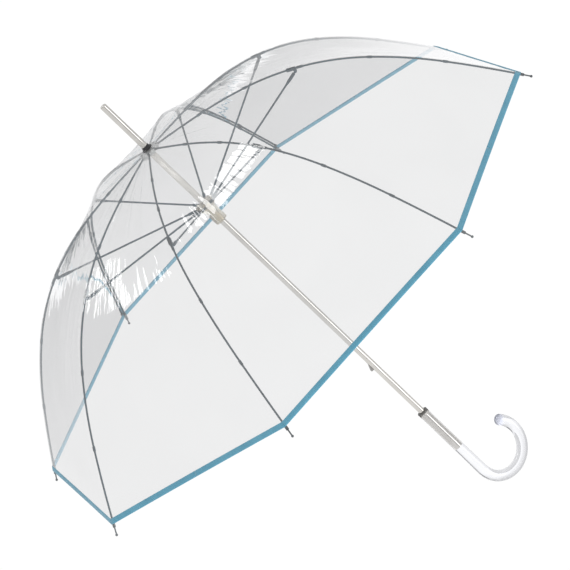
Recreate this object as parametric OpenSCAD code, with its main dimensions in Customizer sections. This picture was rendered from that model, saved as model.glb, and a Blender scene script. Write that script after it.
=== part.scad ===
// Clear bubble umbrella with eight ribs, shown open.
// +Z runs along the shaft, up to the ferrule. The origin is the middle of the handle's grip.
// The handle's hook lies in the XZ plane and opens towards +X.

/* [Shaft] */
// outside diameter of the shaft tube
shaft_d = 10; // [8:0.5:14]
// wall of the shaft tube
shaft_wall = 0.8; // [0.6:0.1:1.5]
// from the handle's mouth up to the plane of the rib hinges
shaft_exposed = 591; // [450:1:700]
// length of the shaft held inside the handle
shaft_in_handle = 80; // [40:1:110]

/* [Handle] */
// diameter of the clear grip
grip_d = 16.8; // [14:0.1:24]
// diameter of the clear hook, a little thicker than the grip
hook_d = 17.6; // [14:0.1:24]
// length of the straight grip
grip_len = 134; // [100:1:180]
// centreline radius of the hook
hook_r = 42.5; // [30:0.5:55]
// turn of the hook
hook_turn = 218; // [180:1:230]
// thickness of the dark ring at the handle's mouth
ring_t = 2; // [1:0.5:4]

/* [Ferrule] */
// diameter of the ferrule
ferrule_d = 10.4; // [8:0.2:16]
// top of the ferrule above the plane of the rib hinges
ferrule_top = 97; // [60:1:120]
// radius of the black cap where it meets the film
cap_r = 8.5; // [8:0.5:14]
// height of the black cap
cap_h = 6; // [5:0.5:14]

/* [Frame] */
// number of ribs
ribs = 8; // [8:1:8]
// turn of the first rib about the shaft from +X
rib_phase = 7.5; // [0:0.5:44]
// radius of the circle of rib hinges
hinge_r = 14; // [13:0.5:18]
// droop of a rib where it leaves its hinge, in degrees
rib_droop = 5.3; // [0:0.1:15]
// length of a rib from its hinge to the stretcher's clip
upper_len = 234; // [180:1:280]
// bend of a rib from its hinge to the stretcher's clip, in degrees
upper_bend = 20.8; // [5:0.1:40]
// length of a rib from the stretcher's clip to the hem
lower_len = 328; // [240:1:400]
// bend of a rib from the stretcher's clip to the hem, in degrees
lower_bend = 29.2; // [5:0.1:50]
// diameter of the rib and stretcher rods
rod_d = 2.8; // [2:0.1:4]
// length of a rib's tip beyond the hem
tip_len = 19; // [12:1:30]

/* [Runner] */
// runner's stretcher pivots below the plane of the rib hinges, when open
runner_drop = 118; // [90:1:160]
// radius of the circle of stretcher ends in the runner
runner_pivot_r = 12.5; // [12:0.1:14]
// radius of the runner's flange
flange_r = 15.5; // [14:0.1:18]
// height of the runner's flange
flange_h = 8; // [6:0.5:12]
// outside radius of the runner's sleeve
sleeve_r = 10; // [8:0.1:10.2]
// length of the runner's sleeve below its flange
sleeve_len = 30; // [25:1:50]

/* [Catches] */
// angle of the catches about the shaft, between two ribs
catch_angle = 165; // [0:1:359]
// how far a catch stands out from the shaft's axis
catch_reach = 9.2; // [7:0.1:9.4]
// lower catch's square face below the plane of the rib hinges
lower_catch_drop = 486; // [450:1:520]
// upper catch's square face below the runner's stretcher pivots
upper_catch_drop = 14; // [8:1:20]

/* [Film] */
// thickness of the film, a stand-in for thinner film
film_t = 1; // [0.6:0.1:2]
// thickness of the bound hem
hem_t = 1.7; // [1:0.1:3]
// width of the bound hem
hem_w = 8; // [4:0.5:14]
// film's inner face outside a rib's centreline
film_gap = 3; // [2.8:0.1:5]

/* [Hidden] */
RIB_PARTS = ["rib_upper", "rib_lower", "rib_tip", "stretcher", "film_upper", "film_lower"];
$fn = 48;
PITCH = 360 / ribs;
HALF = PITCH / 2;
MOUTH_Z = grip_len / 2;
HINGE_Z = MOUTH_Z + shaft_exposed;
RUNNER_Z = HINGE_Z - runner_drop;
ROD_R = rod_d / 2;
SHAFT_R = shaft_d / 2;
BORE_R = SHAFT_R - shaft_wall;
// clearance round a fixed fit, round a sliding fit and between loose neighbours
FIT = 0.05;
SLIDE = 0.08;
APART = 0.3;
// eyes on the ends of the rods, and the pins through them
EYE_R = 1.9;
EYE_W = 2.4;
PIN_R = 0.7;
PIN_BORE_R = PIN_R + FIT;
NECK = 3.6;
// side gap of an eye in its fork or slot
SLOT_W = EYE_W + 2 * 0.6;
// clip that joins a rib's two lengths and its stretcher
CLIP_LEN = 12;
CHEEK_T = 1;
CHEEK_IN = EYE_W / 2 + APART;
CLIP_TOP = 1.9;
CLIP_BELOW = 2.2;
KNEE = 4.6;
// sleeves that tie the film to the rods
SLEEVE_R = 2;
SLEEVE_LEN = 7;
// film at the crown
DISC_R = 16.3;
DISC_LIFT = 2.9;
NOTCH_R = 16.6;
NOTCH_LOW = 4.2;
NOTCH_HIGH = 2.4;

// A rib is six arcs. Its bend grows evenly up to the clip and fades evenly to the tip.
ARCS = 3;
SHARE = [1, 3, 5, 5, 3, 1] / 9;
function arc_len(k) = (k < ARCS ? upper_len : lower_len) / ARCS;
function arc_bend(k) = (k < ARCS ? upper_bend : lower_bend) * SHARE[k];
function slope(k) = k == 0 ? rib_droop : slope(k - 1) + arc_bend(k - 1);
function radius(k) = arc_len(k) * 180 / PI / arc_bend(k);
function outward(a) = [sin(a), cos(a)];
function centre(k) = knot(k) - radius(k) * outward(slope(k));
function knot(k) = k == 0 ? [hinge_r, 0] : centre(k - 1) + radius(k - 1) * outward(slope(k));
// point at share u of arc k, moved out from the rod by d
function on_arc(k, u, d) = centre(k) + (radius(k) + d) * outward(slope(k) + u * arc_bend(k));
CLIP = knot(ARCS);
CLIP_SLOPE = slope(ARCS);
TIP = knot(2 * ARCS);
TIP_SLOPE = slope(2 * ARCS);
KNEE_AT = CLIP - KNEE * outward(CLIP_SLOPE);
STRETCH = [runner_pivot_r, -runner_drop] - KNEE_AT;
STRETCH_LEN = norm(STRETCH);
STRETCH_DROP = atan2(-STRETCH[1], STRETCH[0]);

// places its children in a rib's own plane, with the hinge plane at z = 0
module at_rib(i) {
    rotate([0, 0, rib_phase + PITCH * (i - 1)])
        translate([0, 0, HINGE_Z])
            children();
}

// places its children on a point of the rib's plane, with +X turned down by a
module in_plane(p, a) {
    translate([p[0], 0, p[1]])
        rotate([0, a, 0])
            children();
}

// cylinder across the rib's plane
module across(r, w) {
    rotate([90, 0, 0])
        cylinder(r = r, h = w, center = true);
}

// cylinder along +X from x0 to x1
module along(r, x0, x1) {
    translate([x0, 0, 0])
        rotate([0, 90, 0])
            cylinder(r = r, h = x1 - x0);
}

// arc k of a rib, cut short by t0 at its start and t1 at its end
module rib_arc(k, t0, t1) {
    a0 = t0 / radius(k) * 180 / PI;
    a1 = t1 / radius(k) * 180 / PI;
    translate([centre(k)[0], 0, centre(k)[1]])
        rotate([90, 0, 0])
            rotate([0, 0, 90 - slope(k) - arc_bend(k) + a1])
                rotate_extrude(angle = arc_bend(k) - a0 - a1)
                    translate([radius(k), 0])
                        circle(r = ROD_R);
}

// eye with its bore and the flat neck behind it
module eye() {
    difference() {
        union() {
            across(EYE_R, EYE_W);
            translate([0, -EYE_W / 2, -1.2])
                cube([NECK, EYE_W, 2.4]);
        }
        across(PIN_BORE_R, EYE_W + 2);
    }
}

// sleeve over the joint before arc k
module tie_sleeve(k) {
    in_plane(knot(k), slope(k))
        along(SLEEVE_R, -SLEEVE_LEN / 2, SLEEVE_LEN / 2);
}

// clip: a block on the end of the upper rod, two cheeks and their two pins
module clip() {
    in_plane(CLIP, CLIP_SLOPE) {
        translate([-CLIP_LEN, -CHEEK_IN - CHEEK_T, -CLIP_BELOW])
            cube([CLIP_LEN - 4, 2 * (CHEEK_IN + CHEEK_T), CLIP_BELOW + CLIP_TOP]);
        for (s = [-1, 1])
            translate([0, s * (CHEEK_IN + CHEEK_T / 2), 0])
                rotate([90, 0, 0])
                    linear_extrude(CHEEK_T, center = true)
                        cheek_2d();
        across(PIN_R, 2 * CHEEK_IN + CHEEK_T);
        translate([0, 0, -KNEE])
            across(PIN_R, 2 * CHEEK_IN + CHEEK_T);
    }
}

module cheek_2d() {
    translate([-CLIP_LEN, -CLIP_BELOW])
        square([CLIP_LEN, CLIP_BELOW + CLIP_TOP]);
    circle(r = CLIP_TOP);
    translate([-CLIP_BELOW, -KNEE])
        square([2 * CLIP_BELOW, KNEE]);
    translate([0, -KNEE])
        circle(r = CLIP_BELOW);
}

module rib_upper(i) {
    color("darkslategray")
        at_rib(i) {
            in_plane(knot(0), slope(0))
                eye();
            rib_arc(0, NECK - 0.5, 0.4);
            rib_arc(1, 0.4, 0.4);
            rib_arc(2, 0.4, 6);
            tie_sleeve(1);
            tie_sleeve(2);
            clip();
        }
}

module rib_lower(i) {
    lap = 0.4;
    color("darkslategray")
        at_rib(i) {
            in_plane(CLIP, CLIP_SLOPE)
                eye();
            rib_arc(3, NECK - 0.5, lap);
            rib_arc(4, lap, lap);
            rib_arc(5, lap, 0);
            in_plane(CLIP, CLIP_SLOPE)
                along(SLEEVE_R, NECK - 0.5, CLIP_LEN);
            tie_sleeve(4);
            tie_sleeve(5);
        }
}

// tip: a cap over the rod's end, a pin and a ball
module rib_tip(i) {
    cap_in = 7;
    cap_out = 6;
    socket_r = 2.2;
    pin_r = 1.1;
    ball_r = 2;
    color("slategray")
        at_rib(i)
            in_plane(TIP, TIP_SLOPE)
                difference() {
                    union() {
                        along(socket_r, -cap_in, cap_out);
                        along(pin_r, cap_out - 1, tip_len - ball_r);
                        translate([tip_len - ball_r, 0, 0])
                            sphere(r = ball_r);
                    }
                    along(ROD_R + FIT, -cap_in - 1, FIT);
                }
}

// stretcher: a rod with a thick shank and an eye at the clip, and a thick, flat-ended shank at the runner
module stretcher(i) {
    end_r = 2.4;
    end_gap = 0.6;
    end_len = 18;
    end_taper = 8;
    lap = 0.1;
    shank_r = 2.2;
    shank_len = 12;
    shank_back = 5.2;
    flat_t = 3;
    color("darkslategray")
        at_rib(i)
            in_plane(KNEE_AT, STRETCH_DROP) {
                eye();
                along(ROD_R, NECK - 0.5, STRETCH_LEN - shank_back - shank_len + 2);
                along(end_r, NECK + end_gap, end_len);
                translate([end_len - lap, 0, 0])
                    rotate([0, 90, 0])
                        cylinder(r1 = end_r - lap, r2 = ROD_R + lap, h = end_taper);
                along(shank_r, STRETCH_LEN - shank_back - shank_len, STRETCH_LEN - shank_back);
                translate([STRETCH_LEN - shank_back - 1, -EYE_W / 2, -flat_t / 2])
                    cube([shank_back + 1, EYE_W, flat_t]);
                translate([STRETCH_LEN, 0, 0])
                    across(EYE_R, EYE_W);
            }
}

// The film between two ribs is a flat-topped vault, straight across and curved along the ribs.
// One node carries the halves of the two vaults beside its rib.
UPPER_STEPS = 4;
LOWER_STEPS = 5;
// stations along a rib as [arc, share of the arc]
function stations(k0, steps) = [for (k = [k0:k0 + ARCS - 1]) for (n = [0:steps - 1]) [k, n / steps]];
function film_line(st, d) = [for (s = st) on_arc(s[0], s[1], d)];
function reversed(v) = [for (n = [len(v) - 1:-1:0]) v[n]];
// film starts this far along the first arc
FILM_START = (DISC_R + APART / cos(HALF) - hinge_r) / arc_len(0);
UPPER_ST = concat([[0, FILM_START]], [for (s = stations(0, UPPER_STEPS)) if (s[0] + s[1] > 0.1) s],
                  [[ARCS - 1, 1 - APART / arc_len(0)]]);
LOWER_ST = concat([[ARCS, APART / arc_len(ARCS)]], [for (s = stations(ARCS, LOWER_STEPS)) if (s[0] + s[1] > ARCS) s]);
HEM_START = 1 - hem_w / arc_len(2 * ARCS - 1);
LAST = 2 * ARCS - 1;

module upper_film_2d() {
    polygon(concat(film_line(UPPER_ST, film_gap), reversed(film_line(UPPER_ST, film_gap + film_t))));
}

module lower_film_2d() {
    inner = concat(LOWER_ST, [[LAST, HEM_START], [LAST, 1]]);
    outer = film_line(concat(LOWER_ST, [[LAST, HEM_START]]), film_gap + film_t);
    hem = film_line([[LAST, HEM_START], [LAST, 1]], film_gap + hem_t);
    polygon(concat(film_line(inner, film_gap), reversed(concat(outer, hem))));
}

// half a vault beside the rib, on the side s, from the profile given as a child
module half_vault(s) {
    wide = tan(HALF) * (TIP[0] + 20);
    intersection() {
        rotate([0, 0, s * HALF])
            translate([0, s > 0 ? -APART / 2 : wide, 0])
                rotate([90, 0, 0])
                    linear_extrude(wide - APART / 2)
                        scale([cos(HALF), 1])
                            children();
        translate([0, s > 0 ? 0 : -TIP[0], -TIP[0]])
            cube([2 * TIP[0], TIP[0], 2 * TIP[0]]);
    }
}

module film_upper(i) {
    color("aliceblue", 0.4)
        at_rib(i) {
            half_vault(1)
                upper_film_2d();
            half_vault(-1)
                upper_film_2d();
        }
}

module film_lower(i) {
    color("aliceblue", 0.4)
        at_rib(i) {
            half_vault(1)
                lower_film_2d();
            half_vault(-1)
                lower_film_2d();
        }
}

// radial slots for the eyes, from radius r0 outwards
module eye_slots(r0, z0, z1) {
    for (i = [1:ribs])
        rotate([0, 0, rib_phase + PITCH * (i - 1)])
            translate([r0, -SLOT_W / 2, z0])
                cube([flange_r, SLOT_W, z1 - z0]);
}

// notch: the slotted hub under the film, with a pin for each rib
module notch() {
    color("whitesmoke")
        translate([0, 0, HINGE_Z]) {
            difference() {
                translate([0, 0, -NOTCH_LOW])
                    cylinder(r = NOTCH_R, h = NOTCH_LOW + NOTCH_HIGH);
                translate([0, 0, -NOTCH_LOW - 1])
                    cylinder(r = SHAFT_R + FIT, h = NOTCH_LOW + NOTCH_HIGH + 2);
                eye_slots(hinge_r - EYE_R - 0.5, -NOTCH_LOW - 1, NOTCH_HIGH + 1);
            }
            for (i = [1:ribs])
                rotate([0, 0, rib_phase + PITCH * (i - 1)])
                    translate([hinge_r, 0, 0])
                        across(PIN_R, SLOT_W + 1);
        }
}

// runner: a flange with open slots for the stretchers, and a sleeve with a slit that passes the catches
module runner() {
    slit_w = 2.6;
    color("ivory")
        translate([0, 0, RUNNER_Z])
            difference() {
                union() {
                    translate([0, 0, -flange_h / 2])
                        cylinder(r = flange_r, h = flange_h);
                    translate([0, 0, -flange_h / 2 - sleeve_len])
                        cylinder(r = sleeve_r, h = sleeve_len + 1);
                }
                translate([0, 0, -sleeve_len - flange_h])
                    cylinder(r = SHAFT_R + SLIDE, h = sleeve_len + 2 * flange_h);
                eye_slots(runner_pivot_r - EYE_R - 0.4, -flange_h / 2 - 1, flange_h / 2 + 1);
                rotate([0, 0, catch_angle])
                    translate([0, -slit_w / 2, -sleeve_len - flange_h])
                        cube([flange_r + 1, slit_w, sleeve_len + 2 * flange_h]);
            }
}

// Catches are flat plates that swing out through slots in the shaft. A plate's pivot is CATCH_ARM from its
// square face. Its blunt nose stays inside the tube and stops it.
CATCH_ARM = 22;
CATCH_T = 1.4;
CATCH_SLOT = 2;
UPPER_CATCH_Z = RUNNER_Z - upper_catch_drop - CATCH_ARM;
LOWER_CATCH_Z = HINGE_Z - lower_catch_drop + CATCH_ARM;

// outline of a catch, with its pivot at the origin and its nose along -y
module catch_2d() {
    difference() {
        union() {
            circle(r = 2.2);
            polygon([
                [-1.2, -1.6], [1.5, -CATCH_ARM - 3], [3.7, -CATCH_ARM - 3], [3.7, -CATCH_ARM - 0.6],
                [catch_reach - 0.4, -CATCH_ARM], [catch_reach, -CATCH_ARM + 2.4], [3.6, -6], [1.8, -1]
            ]);
        }
        circle(r = PIN_R + SLIDE);
    }
}

module catch(z, up) {
    color("silver")
        rotate([0, 0, catch_angle])
            translate([0, 0, z])
                rotate([90, 0, 0])
                    linear_extrude(CATCH_T, center = true)
                        scale([1, up])
                            catch_2d();
}

module catch_upper() {
    catch(UPPER_CATCH_Z, -1);
}

module catch_lower() {
    catch(LOWER_CATCH_Z, 1);
}

// cross pins that carry the two catches
module catch_pins() {
    color("silver")
        for (z = [UPPER_CATCH_Z, LOWER_CATCH_Z])
            rotate([0, 0, catch_angle])
                translate([0, 0, z])
                    across(PIN_R, 2 * SHAFT_R - 0.4);
}

// slot through one wall for a catch, with its pin's cross hole
module catch_cut(z, up) {
    near = 5;
    far = CATCH_ARM + 1.5;
    rotate([0, 0, catch_angle])
        translate([0, 0, z]) {
            translate([1, -CATCH_SLOT / 2, up > 0 ? -far : near])
                cube([shaft_d, CATCH_SLOT, far - near]);
            across(PIN_R + 0.02, shaft_d + 2);
        }
}

module shaft_tube() {
    bottom = MOUTH_Z - shaft_in_handle;
    top = CAP_Z + cap_h - 0.2;
    color("silver")
        difference() {
            translate([0, 0, bottom])
                cylinder(r = SHAFT_R, h = top - bottom);
            translate([0, 0, bottom - 1])
                cylinder(r = BORE_R, h = top - bottom + 2);
            catch_cut(UPPER_CATCH_Z, -1);
            catch_cut(LOWER_CATCH_Z, 1);
        }
}

// black cap over the centre of the film, flared like a trumpet
CAP_Z = HINGE_Z + DISC_LIFT + film_t + 0.2;
module crown_cap() {
    neck_r = ferrule_d / 2 + 0.6;
    flare = cap_r - neck_r;
    color("black")
        translate([0, 0, CAP_Z])
            rotate_extrude()
                polygon([
                    [SHAFT_R + FIT, 0], [cap_r, 0], [cap_r, 1], [neck_r + 0.4 * flare, 0.35 * cap_h],
                    [neck_r + 0.1 * flare, 0.65 * cap_h], [neck_r, cap_h], [SHAFT_R + FIT, cap_h]
                ]);
}

// middle of the film under the cap, with a corner at each rib
module crown_disc() {
    color("aliceblue", 0.4)
        translate([0, 0, HINGE_Z + DISC_LIFT])
            difference() {
                rotate([0, 0, rib_phase])
                    cylinder(r = DISC_R, h = film_t, $fn = ribs);
                translate([0, 0, -1])
                    cylinder(r = SHAFT_R + FIT, h = film_t + 2);
            }
}

// ferrule: a rod with a rounded end and a spigot inside the shaft
module ferrule() {
    base = CAP_Z + cap_h - HINGE_Z;
    r = ferrule_d / 2;
    edge = 1.6;
    spigot = 20;
    color("silver")
        translate([0, 0, HINGE_Z])
            rotate_extrude()
                polygon([
                    [0, base - spigot], [BORE_R - FIT, base - spigot], [BORE_R - FIT, base], [r, base],
                    [r, ferrule_top - edge], [r - edge / 2, ferrule_top - edge / 4], [r - edge, ferrule_top],
                    [0, ferrule_top]
                ]);
}

// handle: a straight grip let into the thicker hook, which ends in a rounded nose
module handle() {
    hook_rod_r = hook_d / 2;
    end_turn = hook_turn - 180;
    end_at = [hook_r + hook_r * cos(end_turn), -MOUTH_Z + hook_r * sin(end_turn)];
    let_in = 1;
    nose_in = 0.5;
    color("whitesmoke", 0.5)
        union() {
            difference() {
                translate([0, 0, -MOUTH_Z - let_in])
                    cylinder(r = grip_d / 2, h = grip_len + let_in);
                translate([0, 0, MOUTH_Z - shaft_in_handle - 0.2])
                    cylinder(r = SHAFT_R + FIT, h = shaft_in_handle + 1);
            }
            translate([hook_r, 0, -MOUTH_Z])
                rotate([90, 0, 0])
                    rotate([0, 0, 180])
                        rotate_extrude(angle = hook_turn)
                            translate([hook_r, 0])
                                circle(r = hook_rod_r);
            translate([end_at[0], 0, end_at[1]])
                rotate([0, -end_turn, 0])
                    sphere(r = hook_rod_r - nose_in);
        }
}

module handle_ring() {
    color("dimgray")
        translate([0, 0, MOUTH_Z])
            difference() {
                cylinder(r = grip_d / 2 + 0.2, h = ring_t);
                translate([0, 0, -1])
                    cylinder(r = SHAFT_R + FIT, h = ring_t + 2);
            }
}

shaft_tube();
ferrule();
crown_cap();
crown_disc();
notch();
runner();
handle();
handle_ring();
catch_upper();
catch_lower();
catch_pins();
for (i = [1:ribs]) {
    rib_upper(i);
    rib_lower(i);
    rib_tip(i);
    stretcher(i);
    film_upper(i);
    film_lower(i);
}
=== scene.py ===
"""Clear bubble umbrella: film canopy, hem, handle, materials, light and camera round the CAD frame."""
import math

import bmesh
import bpy
import numpy as np
from mathutils import Matrix, Vector


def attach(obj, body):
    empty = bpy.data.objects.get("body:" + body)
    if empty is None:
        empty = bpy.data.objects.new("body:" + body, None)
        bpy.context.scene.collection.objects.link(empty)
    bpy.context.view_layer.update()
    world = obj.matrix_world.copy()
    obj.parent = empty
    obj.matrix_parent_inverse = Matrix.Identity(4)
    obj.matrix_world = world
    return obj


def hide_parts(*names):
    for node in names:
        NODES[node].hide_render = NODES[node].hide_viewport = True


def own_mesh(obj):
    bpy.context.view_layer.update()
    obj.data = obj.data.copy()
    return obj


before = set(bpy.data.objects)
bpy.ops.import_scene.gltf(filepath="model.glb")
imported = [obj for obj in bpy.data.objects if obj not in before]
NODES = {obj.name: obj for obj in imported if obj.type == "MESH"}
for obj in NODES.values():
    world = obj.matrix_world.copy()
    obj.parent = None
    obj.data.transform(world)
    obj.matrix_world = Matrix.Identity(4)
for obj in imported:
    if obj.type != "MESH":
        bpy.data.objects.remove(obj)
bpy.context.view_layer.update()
MM = 0.001

# The frame's own sizes, in millimetres, as the CAD has them.
HINGE_Z = 658.0
HINGE_R = 14.0
RIB_DROOP = 5.3
UPPER_LEN = 234.0
LOWER_LEN = 328.0
UPPER_BEND = 20.8
LOWER_BEND = 29.2
RIB_PHASE = 7.5
RIBS = 8
PITCH = 360 / RIBS
BEND_SHARE = (1 / 9, 3 / 9, 5 / 9, 5 / 9, 3 / 9, 1 / 9)
ARCS = 3
RIB_LEN = UPPER_LEN + LOWER_LEN
FILM_GAP = 2.6
# Half a gore's fold axis is anchored this far beside its rib.
FOLD_ASIDE = 4.2


def rad(degrees):
    return math.radians(degrees)


def rib_knots():
    """[(start point (r, z), start slope in degrees, bend, radius, centre)] of the rib's six arcs."""
    point, slope, found = np.array([HINGE_R, 0.0]), RIB_DROOP, []
    for k, share in enumerate(BEND_SHARE):
        length = (UPPER_LEN if k < ARCS else LOWER_LEN) / ARCS
        bend = (UPPER_BEND if k < ARCS else LOWER_BEND) * share
        radius = length / rad(bend)
        out = np.array([math.sin(rad(slope)), math.cos(rad(slope))])
        centre = point - radius * out
        found.append((slope, bend, radius, centre, length))
        slope += bend
        point = centre + radius * np.array([math.sin(rad(slope)), math.cos(rad(slope))])
    return found


KNOTS = rib_knots()


def rib_line(s, gap=0.0):
    """Points (r, z) of the rib's line at lengths s from its hinge, moved out by gap.

    z is from the hinge plane.
    """
    s = np.asarray(s, float)
    r, z = np.zeros_like(s), np.zeros_like(s)
    start = 0.0
    for k, (slope, bend, radius, centre, length) in enumerate(KNOTS):
        first, last = k == 0, k == len(KNOTS) - 1
        here = ((s >= start) | first) & ((s < start + length) | last)
        angle = np.radians(slope + bend * (s - start) / length)
        r = np.where(here, centre[0] + (radius + gap) * np.sin(angle), r)
        z = np.where(here, centre[1] + (radius + gap) * np.cos(angle), z)
        start += length
    return r, z


def smooth(x, low, high):
    t = np.clip((x - low) / (high - low), 0, 1)
    return t * t * (3 - 2 * t)


# The crown patch starts at this radius and this far above the hinges. The gores start this far beyond them.
CROWN_R = 5.3
CROWN_RISE = 3.6
GORE_START = 2.5
# In the middle between two ribs the film dips by DIP, and the hem rises by HEM_RISE, from HEM_RISE_FROM down.
DIP = 5.0
HEM_RISE = 0.6
HEM_RISE_FROM = 300
# Heights of the wrinkles: the fan round the crown, the broad waves and the cross waves.
FAN_HEIGHT = 0.34
BROAD_HEIGHT = 0.32
CROSS_HEIGHT = 0.14
# How loose each gore is, from the one after the first rib round to the one before it.
LOOSE = np.array([0.5, 0.4, 0.9, 1.2, 1.9, 1.3, 0.9, 0.7])


def noise_wave(angle, s):
    """Wrinkles of the film, in millimetres. They run down from the crown and die out towards the hem."""
    a = np.radians(angle)
    gore = ((angle - RIB_PHASE) / PITCH) % RIBS
    loose = np.interp(gore, np.arange(RIBS + 1) + 0.5, np.append(LOOSE, LOOSE[0]))
    near = smooth(s, 8, 70) * np.exp(-((np.maximum(s, 90) - 90) / 120) ** 2)
    fan = (
        np.sin(31 * a + 0.7 + 0.4 * np.sin(s * 0.021))
        + 0.8 * np.sin(47 * a + 2.1 + s * 0.008)
        + 0.6 * np.sin(71 * a + 4.4 - s * 0.006)
        + 0.35 * np.sin(113 * a + 1.9)
    )
    calm = smooth(s, 60, 200) * (1 - smooth(s, 470, 555))
    broad = np.sin(9 * a + 0.013 * s + 1.0) + 0.6 * np.sin(14 * a - 0.021 * s + 2.7)
    cross = np.sin(0.045 * s + 1.6 * np.sin(5 * a + 0.8) + 1.3)
    return FAN_HEIGHT * loose * near * fan + (BROAD_HEIGHT * broad + CROSS_HEIGHT * cross) * calm


def straight_film(angle, s):
    """The film pulled straight across from rib to rib, in millimetres."""
    local = (angle - RIB_PHASE) % PITCH
    v = 2 * local / PITCH - 1
    low = np.radians(angle - local)
    high = low + rad(PITCH)
    share = 0.5 * (1 + np.tan(np.radians(local - PITCH / 2)) / math.tan(rad(PITCH / 2)))
    low_part = np.clip((s - HEM_RISE_FROM) / (RIB_LEN - HEM_RISE_FROM), 0, 1)
    hem = HEM_RISE * (1 - v * v) * low_part**1.5
    r, z = rib_line(s - hem, FILM_GAP)
    x = r * ((1 - share) * np.cos(low) + share * np.cos(high))
    y = r * ((1 - share) * np.sin(low) + share * np.sin(high))
    return np.stack([x, y, z + HINGE_Z], -1)


def unit(v):
    return v / np.maximum(np.linalg.norm(v, axis=-1, keepdims=True), 1e-9)


def cross_normal(shape, angle, s, step_a, step_s):
    """Outward unit normals of a surface given as shape(angle, s)."""
    along = shape(angle, s + step_s) - shape(angle, s - step_s)
    across = shape(angle + step_a, s) - shape(angle - step_a, s)
    return unit(np.cross(along, across))


def film_point(angle, s, wrinkles=1.0):
    """The film: stretched film dips a little between two ribs, and is wrinkled near the crown."""
    v = 2 * ((angle - RIB_PHASE) % PITCH) / PITCH - 1
    free = 1 - np.abs(v) ** 2.2
    start, short = 20, 60
    down = np.clip((s - start) / (RIB_LEN - short), 0, 1)
    dip = -DIP * np.sin(np.pi * down) ** 1.2 * free
    wave = wrinkles * noise_wave(angle, s) * (0.2 + 0.8 * free)
    n = cross_normal(straight_film, angle, s, 0.02, 0.5)
    return straight_film(angle, s) + n * (dip + wave)[..., None]


def film_normal(angle, s, wrinkles=1.0):
    return cross_normal(lambda a, t: film_point(a, t, wrinkles), angle, s, 0.05, 0.6)


def grid_faces(rows, cols, closed=False):
    faces = []
    for i in range(rows - 1):
        for j in range(cols if closed else cols - 1):
            k = (j + 1) % cols
            faces.append((i * cols + j, i * cols + k, (i + 1) * cols + k, (i + 1) * cols + j))
    return faces


def mesh_object(name, points, faces, material, normals=None, uv=None):
    """A smooth mesh object from points in millimetres."""
    mesh = bpy.data.meshes.new(name)
    mesh.from_pydata((np.asarray(points).reshape(-1, 3) * MM).tolist(), [], faces)
    mesh.polygons.foreach_set("use_smooth", [True] * len(mesh.polygons))
    if uv is not None:
        layer = mesh.uv_layers.new(name="UVMap")
        index = np.zeros(len(mesh.loops), np.int32)
        mesh.loops.foreach_get("vertex_index", index)
        layer.data.foreach_set("uv", np.asarray(uv, np.float32).reshape(-1, 2)[index].ravel())
    mesh.materials.append(material)
    mesh.validate()
    mesh.update()
    if normals is not None:
        mesh.normals_split_custom_set_from_vertices(np.asarray(normals).reshape(-1, 3).tolist())
    obj = bpy.data.objects.new(name, mesh)
    bpy.context.scene.collection.objects.link(obj)
    return obj


def face_outwards(obj):
    """Turns the faces of a closed mesh to point outwards."""
    b = bmesh.new()
    b.from_mesh(obj.data)
    bmesh.ops.recalc_face_normals(b, faces=b.faces)
    b.to_mesh(obj.data)
    b.free()


class Nodes:
    """A new material and short calls that add and link its nodes."""

    def __init__(self, name):
        self.material = bpy.data.materials.new(name)
        self.material.use_nodes = True
        self.tree = self.material.node_tree
        self.tree.nodes.clear()
        self.out = self.add("ShaderNodeOutputMaterial")

    def add(self, kind, **values):
        node = self.tree.nodes.new(kind)
        for key, value in values.items():
            if key in node.inputs:
                node.inputs[key].default_value = value
            else:
                setattr(node, key, value)
        return node

    def link(self, a, b):
        self.tree.links.new(a, b)

    def coords(self, kind="Object", scale=(1, 1, 1)):
        where = self.add("ShaderNodeTexCoord")
        mapping = self.add("ShaderNodeMapping")
        mapping.inputs["Scale"].default_value = scale
        self.link(where.outputs[kind], mapping.inputs["Vector"])
        return mapping.outputs["Vector"]

    def noise(self, vector, scale, detail=4.0, rough=0.5, distortion=0.0):
        node = self.add("ShaderNodeTexNoise")
        node.inputs["Scale"].default_value = scale
        node.inputs["Detail"].default_value = detail
        node.inputs["Roughness"].default_value = rough
        node.inputs["Distortion"].default_value = distortion
        self.link(vector, node.inputs["Vector"])
        return node.outputs["Fac"]

    def ramp(self, fac, stops):
        node = self.add("ShaderNodeValToRGB")
        while len(node.color_ramp.elements) < len(stops):
            node.color_ramp.elements.new(0.5)
        for element, (at, colour) in zip(node.color_ramp.elements, stops):
            element.position = at
            element.color = (*colour, 1) if len(colour) == 3 else colour
        self.link(fac, node.inputs["Fac"])
        return node.outputs["Color"]

    def span(self, fac, low, high):
        node = self.add("ShaderNodeMapRange")
        node.inputs["To Min"].default_value = low
        node.inputs["To Max"].default_value = high
        self.link(fac, node.inputs["Value"])
        return node.outputs["Result"]

    def bump(self, height, strength, distance, normal=None):
        node = self.add("ShaderNodeBump")
        node.inputs["Strength"].default_value = strength
        node.inputs["Distance"].default_value = distance
        self.link(height, node.inputs["Height"])
        if normal is not None:
            self.link(normal, node.inputs["Normal"])
        return node.outputs["Normal"]

    def principled(self, **values):
        node = self.add("ShaderNodeBsdfPrincipled")
        for key, value in values.items():
            node.inputs[key.replace("_", " ")].default_value = value
        self.link(node.outputs["BSDF"], self.out.inputs["Surface"])
        return node


def metal(name, dark, light, rough, stretch, grain):
    m = Nodes(name)
    v = m.coords("Object", stretch)
    fine = m.noise(v, grain, 6, 0.6)
    broad = m.noise(m.coords("Object"), 22, 3, 0.5)
    p = m.principled(Metallic=1.0)
    m.link(m.ramp(broad, [(0.3, dark), (0.7, light)]), p.inputs["Base Color"])
    m.link(m.span(fine, rough * 0.7, rough * 1.4), p.inputs["Roughness"])
    m.link(m.bump(fine, 0.06, 0.00003), p.inputs["Normal"])
    return m.material


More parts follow.
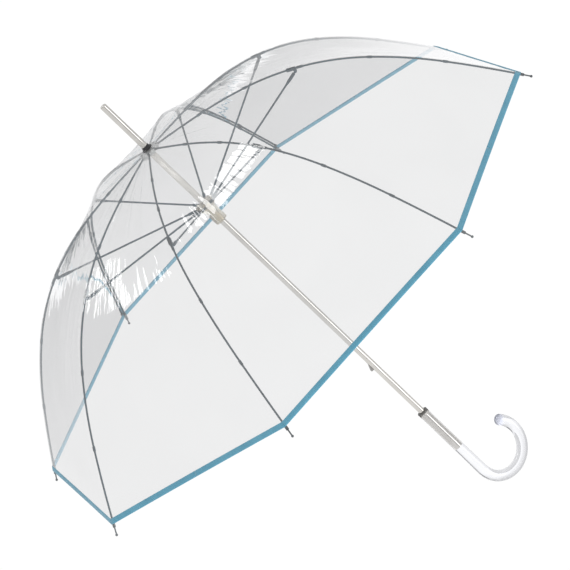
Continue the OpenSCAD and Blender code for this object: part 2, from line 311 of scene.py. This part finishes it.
def plastic(name, dark, light, rough, **more):
    m = Nodes(name)
    v = m.coords("Object")
    broad = m.noise(v, 60, 4, 0.55)
    fine = m.noise(v, 900, 3, 0.6)
    p = m.principled(**more)
    m.link(m.ramp(broad, [(0.3, dark), (0.7, light)]), p.inputs["Base Color"])
    m.link(m.span(broad, rough * 0.8, rough * 1.25), p.inputs["Roughness"])
    m.link(m.bump(fine, 0.15, 0.00004), p.inputs["Normal"])
    return m.material


def film_material(name, tint_and_nose_shade, veil, rough):
    """Clear film: light passes straight through, with a glossy skin that shows the wrinkles."""
    m = Nodes(name)
    v = m.coords("Object")
    broad = m.noise(v, 8, 2, 0.5, 0.4)
    split = m.add("ShaderNodeSeparateXYZ")
    m.link(v, split.inputs["Vector"])
    flat = m.add("ShaderNodeCombineXYZ")
    m.link(split.outputs["X"], flat.inputs["X"])
    m.link(split.outputs["Y"], flat.inputs["Y"])
    way = m.add("ShaderNodeVectorMath", operation="NORMALIZE")
    m.link(flat.outputs["Vector"], way.inputs[0])
    down = m.add("ShaderNodeCombineXYZ")
    m.link(split.outputs["Z"], down.inputs["Z"])
    radial = m.add("ShaderNodeVectorMath", operation="ADD")
    m.link(way.outputs["Vector"], radial.inputs[0])
    m.link(down.outputs["Vector"], radial.inputs[1])
    fine = m.noise(radial.outputs["Vector"], 17, 2, 0.55)
    upper = m.add("ShaderNodeMapRange", interpolation_type="SMOOTHSTEP")
    upper.inputs["From Min"].default_value = 0.44
    upper.inputs["From Max"].default_value = 0.60
    m.link(split.outputs["Z"], upper.inputs["Value"])
    pleat = m.add("ShaderNodeMath", operation="MULTIPLY")
    m.link(fine, pleat.inputs[0])
    m.link(upper.outputs["Result"], pleat.inputs[1])
    swell = m.bump(broad, 0.35, 0.004)
    skin = m.bump(pleat.outputs["Value"], 0.5, 0.0022, swell)
    clear = m.add("ShaderNodeBsdfTransparent")
    m.link(m.ramp(broad, [(0.3, tuple(t * 0.975 for t in tint_and_nose_shade)), (0.7, tint_and_nose_shade)]), clear.inputs["Color"])
    haze = m.add("ShaderNodeBsdfDiffuse")
    haze.inputs["Color"].default_value = (0.80, 0.81, 0.82, 1)
    body = m.add("ShaderNodeMixShader")
    body.inputs["Fac"].default_value = veil
    m.link(clear.outputs["BSDF"], body.inputs[1])
    m.link(haze.outputs["BSDF"], body.inputs[2])
    gloss = m.add("ShaderNodeBsdfGlossy")
    gloss.inputs["Color"].default_value = (1, 1, 1, 1)
    m.link(m.span(fine, rough * 0.7, rough * 1.3), gloss.inputs["Roughness"])
    m.link(skin, gloss.inputs["Normal"])
    edge = m.add("ShaderNodeFresnel")
    edge.inputs["IOR"].default_value = 1.5
    m.link(skin, edge.inputs["Normal"])
    both = m.add("ShaderNodeMath", operation="MULTIPLY")
    both.inputs[1].default_value = 1.05
    both.use_clamp = True
    m.link(edge.outputs["Fac"], both.inputs[0])
    whole = m.add("ShaderNodeMixShader")
    m.link(both.outputs["Value"], whole.inputs["Fac"])
    m.link(body.outputs["Shader"], whole.inputs[1])
    m.link(gloss.outputs["BSDF"], whole.inputs[2])
    m.link(whole.outputs["Shader"], m.out.inputs["Surface"])
    return m.material


def hem_material():
    """Teal woven binding. U runs along it in metres, V from edge to edge."""
    m = Nodes("hem_tape")
    uv = m.add("ShaderNodeTexCoord").outputs["UV"]
    weave = m.add("ShaderNodeTexWave", wave_type="BANDS", bands_direction="DIAGONAL")
    weave.inputs["Scale"].default_value = 420
    weave.inputs["Distortion"].default_value = 1.5
    m.link(uv, weave.inputs["Vector"])
    tone = m.noise(uv, 30, 4, 0.6)
    p = m.principled(Roughness=0.62)
    p.inputs["Sheen Weight"].default_value = 0.25
    m.link(
        m.ramp(tone, [(0.25, (0.072, 0.255, 0.36)), (0.75, (0.11, 0.335, 0.45))]),
        p.inputs["Base Color"],
    )
    m.link(m.bump(weave.outputs["Fac"], 0.5, 0.0002), p.inputs["Normal"])
    return m.material


# The nose of the handle's hook, in metres. Round it the clear plastic gets a darker, bluish painted shade, as
# the rod's end looks darker and bluish.
HOOK_END = (0.0725, 0, -0.0375)


def acrylic_material():
    m = Nodes("clear_acrylic")
    v = m.coords("Object")
    broad = m.noise(v, 25, 3, 0.5)
    p = m.principled(IOR=1.49)
    # Painted shade: towards the hook's nose the plastic is coloured darker and bluish and lets less light
    # through.
    away = m.add("ShaderNodeVectorMath", operation="DISTANCE")
    away.inputs[1].default_value = HOOK_END
    m.link(v, away.inputs[0])
    nose = m.add("ShaderNodeMapRange", interpolation_type="SMOOTHSTEP")
    nose.inputs["From Min"].default_value = 0.009
    nose.inputs["From Max"].default_value = 0.016
    m.link(away.outputs["Value"], nose.inputs["Value"])
    rod = m.ramp(broad, [(0.3, (0.85, 0.855, 0.875)), (0.7, (0.89, 0.895, 0.91))])
    tint_and_nose_shade = m.add("ShaderNodeMixRGB")
    tint_and_nose_shade.inputs["Color1"].default_value = (0.55, 0.57, 0.66, 1)
    m.link(nose.outputs["Result"], tint_and_nose_shade.inputs["Fac"])
    m.link(rod, tint_and_nose_shade.inputs["Color2"])
    m.link(tint_and_nose_shade.outputs["Color"], p.inputs["Base Color"])
    m.link(m.span(nose.outputs["Result"], 0.35, 1.0), p.inputs["Transmission Weight"])
    m.link(m.span(broad, 0.015, 0.05), p.inputs["Roughness"])
    m.link(m.bump(broad, 0.08, 0.0006), p.inputs["Normal"])
    return m.material


MATERIALS = {
    "shaft_metal": metal("shaft_metal", (0.66, 0.64, 0.60), (0.79, 0.77, 0.73), 0.13, (900, 900, 6), 1.0),
    "rib_paint": metal("rib_paint", (0.026, 0.052, 0.070), (0.052, 0.098, 0.125), 0.36, (30, 30, 30), 30),
    "tip_metal": metal("tip_metal", (0.12, 0.13, 0.14), (0.3, 0.32, 0.33), 0.28, (60, 60, 60), 30),
    "catch_steel": metal("catch_steel", (0.35, 0.34, 0.33), (0.5, 0.49, 0.47), 0.3, (200, 200, 200), 8),
    "black_plastic": plastic("black_plastic", (0.012, 0.012, 0.013), (0.025, 0.025, 0.027), 0.22),
    "ring_plastic": plastic("ring_plastic", (0.05, 0.048, 0.045), (0.12, 0.115, 0.11), 0.2),
    "white_plastic": plastic(
        "white_plastic", (0.80, 0.82, 0.81), (0.90, 0.91, 0.90), 0.3, Transmission_Weight=0.5
    ),
    "runner_plastic": plastic(
        "runner_plastic", (0.90, 0.84, 0.70), (0.96, 0.93, 0.86), 0.16, Transmission_Weight=0.85
    ),
}
FILM = film_material("clear_film", (0.85, 0.851, 0.851), 0.15, 0.045)
HEM = hem_material()
ACRYLIC = acrylic_material()

KEPT = {
    "shaft_tube": "shaft_metal",
    "ferrule": "shaft_metal",
    "crown_cap": "black_plastic",
    "notch": "white_plastic",
    "runner": "runner_plastic",
    "handle_ring": "ring_plastic",
    "catch_upper": "catch_steel",
    "catch_lower": "catch_steel",
    "catch_pins": "catch_steel",
}
for i in range(1, RIBS + 1):
    KEPT[f"rib_upper_{i}"] = KEPT[f"rib_lower_{i}"] = KEPT[f"stretcher_{i}"] = "rib_paint"
    KEPT[f"rib_tip_{i}"] = "tip_metal"
for name, key in KEPT.items():
    obj = NODES[name]
    if not obj.material_slots:
        obj.data.materials.append(MATERIALS[key])
    for s in obj.material_slots:
        s.material = MATERIALS[key]


def rib_frame(i):
    """(radial, tangential) unit vectors of rib i, and its angle in degrees."""
    angle = RIB_PHASE + PITCH * (i - 1)
    a = rad(angle)
    return np.array([math.cos(a), math.sin(a), 0]), np.array([-math.sin(a), math.cos(a), 0]), angle


def fold_axis(i, side, s0, s1):
    """(axis, anchor) that gathers half a gore beside rib i, FOLD_ASIDE off the rib's rods, when it folds."""
    e_r, e_t, _ = rib_frame(i)
    s = np.linspace(s0, s1, 30)
    r, z = rib_line(s, FILM_GAP)
    line = r[:, None] * e_r + (z + HINGE_Z)[:, None] * np.array([0, 0, 1.0])
    chord = line[-1] - line[0]
    chord /= np.linalg.norm(chord)
    half = rad(PITCH / 2)
    off = -(1 - math.cos(half) ** 2) * e_r + side * math.cos(half) * math.sin(half) * e_t
    axis = off - (off @ chord) * chord
    axis /= np.linalg.norm(axis)
    return axis, line[0] + axis * FOLD_ASIDE


def fold(obj, i, side, s0, s1):
    """Gives the piece its own mesh. The fold's axis and anchor are worked out but not used."""
    axis, anchor = fold_axis(i, side, s0, s1)
    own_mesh(obj)


def film_piece(name, i, side, s0, s1, rows, cols, body):
    _, _, angle = rib_frame(i)
    local = np.linspace(0, PITCH / 2, cols) * side
    nudge, seam_step = 1e-4 * side, 0.05 * side
    local[0] = nudge
    a, s = np.meshgrid(angle + local, np.linspace(s0, s1, rows))
    points = film_point(a, s)
    on_rib = np.abs(a - angle) < 1e-3
    normals = film_normal(a + seam_step * on_rib, s)
    faces = grid_faces(rows, cols)
    if side > 0:
        faces = [f[::-1] for f in faces]
    obj = mesh_object(name, points, faces, FILM, normals)
    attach(obj, body)
    fold(obj, i, side, s0, s1)
    return obj, points, faces


def hem_piece(name, i, side, body):
    """Binding folded over the film's edge: a flat rounded loop swept along the hem."""
    _, _, angle = rib_frame(i)
    cols = 40
    local = np.linspace(0, PITCH / 2, cols) * side
    local[0] = 1e-4 * side
    a = angle + local
    width, half, past, bulge, edge_half, lip = 7.0, 0.75, 0.6, 0.675, 0.6, 0.3
    loop = [(past + math.sin(t) * bulge, math.cos(t) * half) for t in np.linspace(0, math.pi, 7)]
    loop += [(-width, -edge_half), (-width - lip, 0), (-width, edge_half)]
    points, uv = [], []
    edge = film_point(a, np.full(cols, RIB_LEN))
    gone = np.concatenate([[0], np.cumsum(np.linalg.norm(np.diff(edge, axis=0), axis=1))])
    for x, y in loop:
        s = np.full(cols, RIB_LEN + x)
        points.append(film_point(a, s) + film_normal(a, s) * y)
        uv.append(np.stack([gone * MM, np.full(cols, x * MM)], -1))
    points = np.array(points).transpose(1, 0, 2)
    uv = np.array(uv).transpose(1, 0, 2)
    faces = grid_faces(cols, len(loop), closed=True)
    faces.append(tuple(range(len(loop))))
    faces.append(tuple(range((cols - 1) * len(loop), cols * len(loop)))[::-1])
    if side < 0:
        faces = [f[::-1] for f in faces]
    obj = mesh_object(name, points, faces, HEM, uv=uv)
    face_outwards(obj)
    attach(obj, body)
    fold(obj, i, side, UPPER_LEN, RIB_LEN)
    return obj


for i in range(1, RIBS + 1):
    upper, lower = f"upper_{i}", f"lower_{i}"
    for side, word in ((1, "left"), (-1, "right")):
        hem = hem_piece(f"hem_{word}_{i}", i, side, lower)
        name = f"film_top_{word}_{i}"
        top, points, faces = film_piece(name, i, side, GORE_START, UPPER_LEN, 56, 20, upper)
        name = f"film_skirt_{word}_{i}"
        skirt, points, faces = film_piece(name, i, side, UPPER_LEN, RIB_LEN, 72, 28, lower)
        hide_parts(f"film_upper_{i}")
        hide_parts(f"film_lower_{i}")


def crown_patch():
    """The film's middle, from the shaft out to the moving gores."""
    rings, cols = 10, 96
    angles = RIB_PHASE + np.arange(cols) * 360 / cols + 1e-3
    turn = np.radians(angles)
    outer = film_point(angles, np.full(cols, GORE_START))
    height = np.full(cols, HINGE_Z + CROWN_RISE)
    inner = np.stack([CROWN_R * np.cos(turn), CROWN_R * np.sin(turn), height], -1)
    t = np.linspace(0, 1, rings)[:, None, None]
    points = inner * (1 - t) + outer * t
    faces = [f[::-1] for f in grid_faces(rings, cols, closed=True)]
    obj = mesh_object("film_crown", points, faces, FILM)
    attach(obj, "shaft")
    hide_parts("crown_disc")


crown_patch()


def handle_piece():
    """The clear crook: a swept rod with a bore for the shaft and a domed end."""
    grip_r, hook_r, turn, mouth, sweep = 8.4, 8.8, 218.0, 67.0, 42.5
    bore_r, bore_end, point_r, edge, nose = 4.9, -12.9, 0.01, 1.0, 0.75
    sides = 48
    down = np.array([0, 0, -1.0])
    across = np.array([0, 1.0, 0])

    def on_axis(z, r):
        return np.array([0, 0, z]), down, r

    # Rings of the skin as (centre, direction, radius): bore, mouth's edge, grip, hook and nose.
    rings = [on_axis(bore_end, point_r), on_axis(bore_end, bore_r), on_axis(20.0, bore_r)]
    rings += [on_axis(mouth, bore_r), on_axis(mouth, grip_r - edge), on_axis(mouth - edge, grip_r)]
    for z in np.linspace(mouth, -mouth, 24)[1:]:
        rings.append(on_axis(z, grip_r + (hook_r - grip_r) * float(smooth(-z, 20, 66))))
    for deg in np.linspace(0, turn, 64)[1:]:
        a = rad(180 + deg)
        at = np.array([sweep + sweep * math.cos(a), 0, -mouth + sweep * math.sin(a)])
        rings.append((at, np.array([-math.sin(a), 0, math.cos(a)]), hook_r))
    end, way, _ = rings[-1]
    for t in np.linspace(0, math.pi / 2, 9)[1:]:
        at = end + way * hook_r * nose * math.sin(t)
        rings.append((at, way, max(hook_r * math.cos(t), point_r)))
    points = []
    for at, way, r in rings:
        other = np.cross(across, way)
        for k in range(sides):
            t = 2 * math.pi * k / sides
            points.append(at + r * (math.cos(t) * other + math.sin(t) * across))
    obj = mesh_object("handle_crook", points, grid_faces(len(rings), sides, closed=True), ACRYLIC)
    face_outwards(obj)
    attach(obj, "shaft")
    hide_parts("handle")


handle_piece()


def stage_floor():
    """A plain pale floor, well below the umbrella."""
    mesh = bpy.data.meshes.new("floor")
    size, z = 2.4, -1.6
    corners = [(-size, -size, z), (size, -size, z), (size, size, z), (-size, size, z)]
    mesh.from_pydata(corners, [], [(0, 1, 2, 3)])
    obj = bpy.data.objects.new("floor", mesh)
    m = Nodes("floor_paper")
    tone = m.noise(m.coords("Object"), 0.6, 2, 0.5)
    p = m.principled(Roughness=0.9)
    p.inputs["Specular IOR Level"].default_value = 0.1
    m.link(m.ramp(tone, [(0.3, (0.93, 0.93, 0.93)), (0.7, (0.95, 0.95, 0.95))]), p.inputs["Base Color"])
    mesh.materials.append(m.material)
    bpy.context.scene.collection.objects.link(obj)


stage_floor()

# The direction in which the camera looks.
VIEW = Vector((0.3194, 0.8906, -0.3239))


def world_light():
    """A white backdrop for the camera, and a dim studio with bright panels for reflections and glass."""
    world = bpy.data.worlds.new("studio")
    bpy.context.scene.world = world
    world.use_nodes = True
    tree = world.node_tree
    add, link = tree.nodes.new, tree.links.new
    way = add("ShaderNodeTexCoord").outputs["Generated"]
    split = add("ShaderNodeSeparateXYZ")
    link(way, split.inputs["Vector"])
    height = add("ShaderNodeMapRange")
    height.inputs["From Min"].default_value = -1
    link(split.outputs["Z"], height.inputs["Value"])
    ramp = add("ShaderNodeValToRGB").color_ramp
    stops = ((0.0, 1.15), (0.22, 1.1), (0.33, 0.88), (0.45, 0.66), (0.55, 0.68), (1.0, 0.66))
    while len(ramp.elements) < len(stops):
        ramp.elements.new(0.5)
    for element, (at, level) in zip(ramp.elements, stops):
        element.position = at
        element.color = (level, level, level * 1.01, 1)
    ramp_node = tree.nodes[-1]
    link(height.outputs["Result"], ramp_node.inputs["Fac"])
    total = ramp_node.outputs["Color"]
    # Panels: direction, inner and outer half angle, brightness.
    panels = (
        (VIEW, 10, 40, 0.2),
        (Vector((0.433, -0.841, -0.324)), 9, 15, 1.5),
        (Vector((-0.078, -0.943, -0.324)), 5, 11, -0.5),
        (Vector((0.821, -0.469, -0.324)), 5, 11, -0.55),
        (Vector((0.889, 0.324, -0.324)), 5, 11, -0.7),
    )
    for way_to, inner, outer, level in panels:
        dot = add("ShaderNodeVectorMath")
        dot.operation = "DOT_PRODUCT"
        dot.inputs[1].default_value = way_to.normalized()
        link(way, dot.inputs[0])
        span = add("ShaderNodeMapRange")
        span.interpolation_type = "SMOOTHSTEP"
        span.inputs["From Min"].default_value = math.cos(rad(outer))
        span.inputs["From Max"].default_value = math.cos(rad(inner))
        span.inputs["To Max"].default_value = level
        link(dot.outputs["Value"], span.inputs["Value"])
        plus = add("ShaderNodeMixRGB")
        plus.blend_type = "ADD"
        plus.inputs["Fac"].default_value = 1
        link(total, plus.inputs["Color1"])
        link(span.outputs["Result"], plus.inputs["Color2"])
        total = plus.outputs["Color"]
    studio = tree.nodes["Background"]
    link(total, studio.inputs["Color"])
    white = add("ShaderNodeBackground")
    white.inputs["Color"].default_value = (1, 1, 1, 1)
    white.inputs["Strength"].default_value = 1.02
    pick = add("ShaderNodeMixShader")
    link(add("ShaderNodeLightPath").outputs["Is Camera Ray"], pick.inputs["Fac"])
    link(studio.outputs["Background"], pick.inputs[1])
    link(white.outputs["Background"], pick.inputs[2])
    link(pick.outputs["Shader"], tree.nodes["World Output"].inputs["Surface"])


world_light()


def area_light(name, at, aim, size, power):
    """A soft lamp that lights the pieces but isn't seen in metal, film or clear plastic."""
    data = bpy.data.lights.new(name, "AREA")
    data.energy = power
    data.size = size
    obj = bpy.data.objects.new(name, data)
    obj.location = at
    obj.rotation_euler = (Vector(aim) - Vector(at)).to_track_quat("-Z", "Y").to_euler()
    obj.visible_glossy = False
    obj.visible_transmission = False
    bpy.context.scene.collection.objects.link(obj)


def mirror_ray(angle, s):
    """(point, direction) of the camera's sight line after the unwrinkled film mirrors it, in metres."""
    at = film_point(np.array([angle]), np.array([s]), 0.0)[0] * MM
    n = Vector(film_normal(np.array([angle]), np.array([s]), 0.0)[0])
    return Vector(at), VIEW - 2 * VIEW.dot(n) * n


def glare_light(name, angles, lengths, distance, brightness):
    """A softbox that the film mirrors to the camera between two angles and two lengths."""
    mid_a, mid_s = sum(angles) / 2, sum(lengths) / 2
    at, way = mirror_ray(mid_a, mid_s)
    centre = at + way * distance

    def hit(angle, s):
        start, ray = mirror_ray(angle, s)
        return start + ray * ((centre - start).dot(way) / ray.dot(way))

    wide = hit(angles[1], mid_s) - hit(angles[0], mid_s)
    tall = hit(mid_a, lengths[1]) - hit(mid_a, lengths[0])
    x_axis = wide.normalized()
    y_axis = way.cross(x_axis).normalized()
    data = bpy.data.lights.new(name, "AREA")
    data.shape = "RECTANGLE"
    data.size = wide.length
    data.size_y = abs(tall.dot(y_axis))
    data.energy = brightness * math.pi * data.size * data.size_y
    obj = bpy.data.objects.new(name, data)
    obj.matrix_world = Matrix((x_axis, y_axis, way)).transposed().to_4x4()
    obj.location = centre
    bpy.context.scene.collection.objects.link(obj)


area_light("key", (-2.6, -2.6, 3.0), (0, 0, 0.4), 1.4, 60)
area_light("fill", (3.2, -1.6, 1.2), (0, 0, 0.4), 1.8, 30)
area_light("low_fill", (-0.5, -1.5, -1.3), (0, 0.15, 0.5), 1.2, 45)
glare_light("glare_right", (251, 276), (200, 246), 3.0, 7)
glare_light("glare_left", (196, 208), (196, 286), 3.0, 7)

camera = bpy.data.cameras.new("camera")
camera.lens = 232.4
camera.sensor_width = 36
camera.clip_end = 200
view = bpy.data.objects.new("camera", camera)
view.location = (-1.7396, -4.8356, 2.1243)
view.rotation_euler = (rad(63.64), rad(43.162), rad(-38.456))
bpy.context.scene.collection.objects.link(view)
bpy.context.scene.camera = view
bpy.context.scene.view_settings.view_transform = "Standard"
